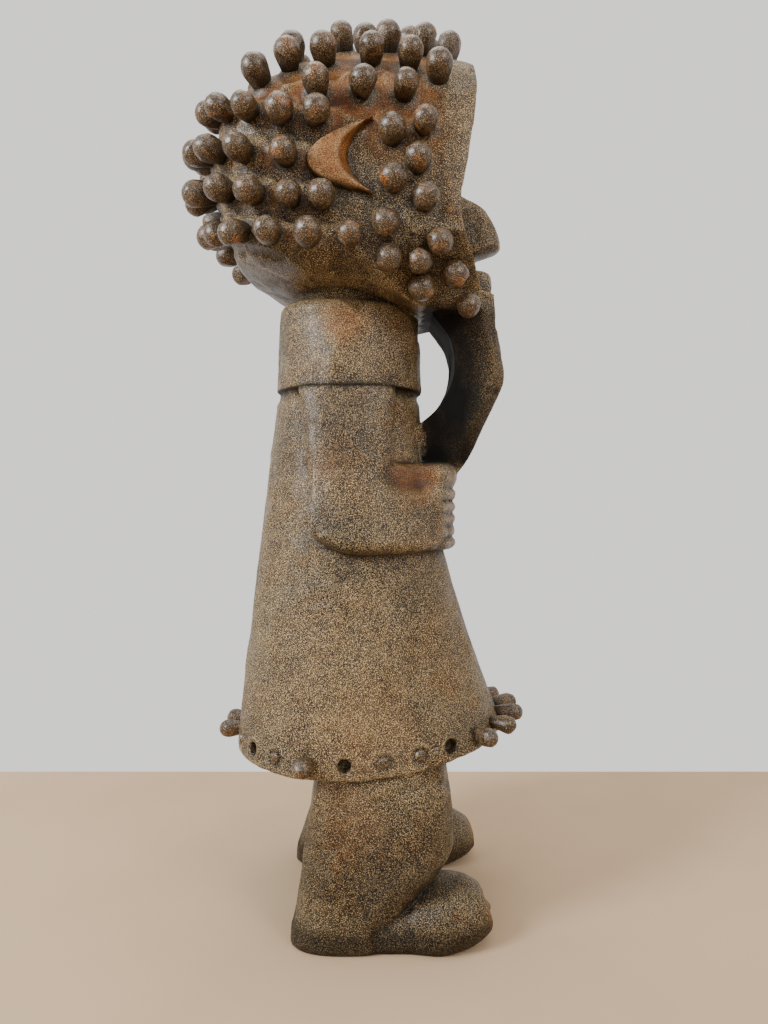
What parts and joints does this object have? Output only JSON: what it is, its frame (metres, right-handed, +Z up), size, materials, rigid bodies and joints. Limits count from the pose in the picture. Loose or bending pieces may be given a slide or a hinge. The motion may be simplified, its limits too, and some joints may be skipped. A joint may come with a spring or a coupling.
{
  "type": "carved wooden ancestor figure",
  "caption": "Standing carved wooden figure with a large head studded with pegs, a strap-like beard held in both hands, and a conical tunic.",
  "frame": {"origin": "middle of the whole object's footprint, on the surface that the feet stand on", "axes": "+Z up, the figure faces -Y and its right side is at -X"},
  "size_m": [0.2104, 0.2494, 0.6385],
  "materials": {
    "carved_wood": "old dark hardwood with a satin, speckled patina",
    "peg_wood": "knife-cut dark wood, worn to a satin sheen"
  },
  "bodies": {
    "root": {"figure": "carved_wood", "hair_peg_01": "peg_wood", "hair_peg_02": "peg_wood", "hair_peg_03": "peg_wood", "hair_peg_04": "peg_wood", "hair_peg_05": "peg_wood", "hair_peg_06": "peg_wood", "hair_peg_07": "peg_wood", "hair_peg_08": "peg_wood", "hair_peg_09": "peg_wood", "hair_peg_10": "peg_wood", "hair_peg_11": "peg_wood", "hair_peg_12": "peg_wood", "hair_peg_13": "peg_wood", "hair_peg_14": "peg_wood", "hair_peg_15": "peg_wood", "hair_peg_16": "peg_wood", "hair_peg_17": "peg_wood", "hair_peg_18": "peg_wood", "hair_peg_19": "peg_wood", "hair_peg_20": "peg_wood", "hair_peg_21": "peg_wood", "hair_peg_22": "peg_wood", "hair_peg_23": "peg_wood", "hair_peg_24": "peg_wood", "hair_peg_25": "peg_wood", "hair_peg_26": "peg_wood", "hair_peg_27": "peg_wood", "hair_peg_28": "peg_wood", "hair_peg_29": "peg_wood", "hair_peg_30": "peg_wood", "hair_peg_31": "peg_wood", "hair_peg_32": "peg_wood", "hair_peg_33": "peg_wood", "hair_peg_34": "peg_wood", "hair_peg_35": "peg_wood", "hair_peg_36": "peg_wood", "hair_peg_37": "peg_wood", "hair_peg_38": "peg_wood", "hem_peg_01": "peg_wood", "hem_peg_02": "peg_wood", "hem_peg_03": "peg_wood", "hem_peg_04": "peg_wood", "hem_peg_05": "peg_wood", "hem_peg_06": "peg_wood", "hem_peg_07": "peg_wood", "hem_peg_08": "peg_wood", "hem_peg_09": "peg_wood", "hem_peg_10": "peg_wood", "hem_peg_11": "peg_wood", "hem_peg_12": "peg_wood", "hem_peg_13": "peg_wood", "hem_peg_14": "peg_wood", "hem_peg_15": "peg_wood", "hem_peg_16": "peg_wood", "hem_peg_17": "peg_wood", "hem_peg_18": "peg_wood", "hem_peg_19": "peg_wood", "hem_peg_20": "peg_wood"}
  },
  "joints": []
}
